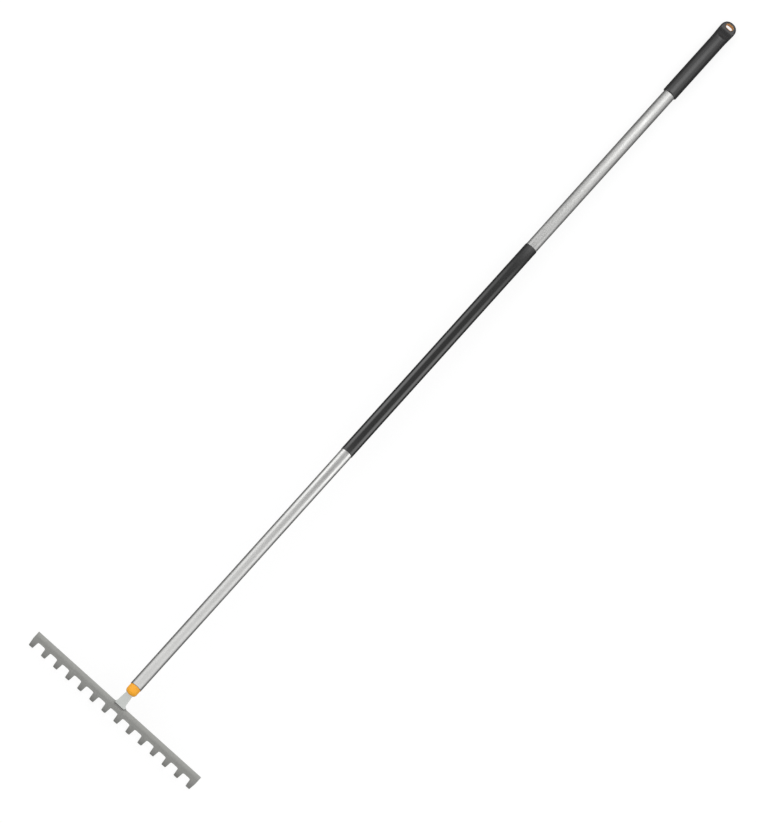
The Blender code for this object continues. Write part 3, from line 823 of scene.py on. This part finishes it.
def make_world():
    """White to the camera; to the light it is a grey studio, paler above than below."""
    world = bpy.data.worlds.new("studio")
    bpy.context.scene.world = world
    world.use_nodes = True
    tree = world.node_tree
    tree.nodes.clear()
    direction = node(tree, "ShaderNodeTexCoord").outputs["Generated"]
    height = node(tree, "ShaderNodeSeparateXYZ", {0: direction}).outputs["Z"]
    level = remap(tree, height, ROOM_BELOW, ROOM_ABOVE, -ROOM_BLEND, ROOM_BLEND)
    room = node(tree, "ShaderNodeBackground", {"Color": level})
    white = node(tree, "ShaderNodeBackground", {"Color": (1, 1, 1, 1)})
    seen = node(tree, "ShaderNodeLightPath").outputs["Is Camera Ray"]
    mixed = node(tree, "ShaderNodeMixShader", {0: seen, 1: room.outputs[0], 2: white.outputs[0]})
    output = node(tree, "ShaderNodeOutputWorld")
    tree.links.new(mixed.outputs[0], output.inputs["Surface"])


def soft_sun(name, strength, spread, lean_x, lean_y):
    """Even light for matt surfaces, which gloss doesn't show."""
    data = bpy.data.lights.new(name, "SUN")
    data.energy = strength
    data.angle = math.radians(spread)
    sun = bpy.data.objects.new(name, data)
    sun.rotation_euler = (math.radians(lean_y), math.radians(lean_x), 0)
    sun.visible_glossy = False
    bpy.context.scene.collection.objects.link(sun)


def within(value, low, high, soft):
    """1 inside a stretch and 0 outside it, eased over the soft edge."""
    return eased(1 - min(max(low - value, value - high, 0) / soft, 1))


def tent_glow(angle, place):
    """The tent's level at an angle from straight up, in degrees, and a place along the shaft."""
    glow = CLOTH_GLOW_BELOW + (CLOTH_GLOW_ABOVE - CLOTH_GLOW_BELOW) * within(angle, 0, 80, 40)
    for level, angles, angle_edge, places, place_edge in SOFTBOXES:
        glow += level * within(angle, *angles, angle_edge) * within(place, *places, place_edge)
    return glow


def make_tent():
    """A studio tent round the tool that only gloss shows: dim cloth with a few softboxes."""
    around, steps = 120, 100
    verts, glow = [], []
    for i in range(steps + 1):
        y = TENT_LOW + (TENT_HIGH - TENT_LOW) * i / steps
        for j in range(around):
            angle = 2 * math.pi * j / around
            verts.append((TENT_RADIUS * math.sin(angle), y, TENT_RADIUS * math.cos(angle)))
            from_top = math.degrees(min(angle, 2 * math.pi - angle))
            glow.append(tent_glow(from_top, y - TENT_SHIFT))
    faces = [(i * around + j, i * around + (j + 1) % around, (i + 1) * around + (j + 1) % around,
              (i + 1) * around + j) for i in range(steps) for j in range(around)]
    tent = mesh_object("tent", verts, faces)
    tent.data.attributes.new("glow", "FLOAT", "POINT").data.foreach_set("value", glow)
    tent.data.transform(TOOL)
    material, tree, shader = new_material("tent_cloth")
    level = node(tree, "ShaderNodeAttribute", attribute_name="glow").outputs["Fac"]
    set_up(tree, shader, 0.0, Base_Color=(0, 0, 0, 1), Roughness=1.0, Specular_IOR_Level=0.0,
           Emission_Color=(1, 1, 1, 1), Emission_Strength=level)
    tent.data.materials.append(material)
    tent.visible_camera = False
    tent.visible_diffuse = False
    tent.visible_transmission = False
    tent.visible_shadow = False


def make_lights():
    soft_sun("overhead", 1.27, 110, 0, 2)
    soft_sun("left_fill", 0.35, 60, -55, 0)
    make_tent()


# ---------------------------------------------------------------- the whole

def make_pieces():
    paint = painted_steel()
    weld = weld_metal()
    orange = orange_plastic()
    make_head(paint)
    make_tang(brushed("tang_bare_steel", (0.52, 0.54, 0.52), (0.68, 0.70, 0.68), 0.30, 0.46, 0.00001))
    foot_front = HEAD_HIGH.y - FOOT_OVERLAP - GAP
    make_weld("front_bead", "front_weld", (foot_front, HEAD_HIGH.z + GAP), (-1, 1), weld)
    make_weld("rear_bead", "rear_weld", (HEAD_HIGH.y + GAP, TANG_LOW.z - GAP), (1, -1), weld)
    make_collar(orange)
    make_bushing(moulded("grey_plastic_moulded", (0.26, 0.26, 0.27), (0.22, 0.22, 0.23), 0.4, 0.55))
    make_rivet(brushed("rivet_aluminium", (0.55, 0.55, 0.55), (0.72, 0.72, 0.72), 0.28, 0.4, 0.00001))
    make_shaft(brushed("drawn_aluminium", (0.57, 0.57, 0.56), (0.71, 0.71, 0.70), 0.32, 0.44, 0.000008))
    make_sleeve(moulded("black_sleeve_skin", (0.011, 0.011, 0.011), (0.007, 0.007, 0.007), 0.16, 0.26,
                        ior=GLOSSY_IOR))
    make_core(orange)
    make_grip(moulded("black_soft_rubber", (0.011, 0.011, 0.0115), (0.007, 0.007, 0.0075), 0.22, 0.34, 1100,
                      0.00003, ior=GLOSSY_IOR))


bpy.context.scene.view_settings.view_transform = "Standard"
make_camera()
make_floor()
make_world()
make_lights()
make_pieces()
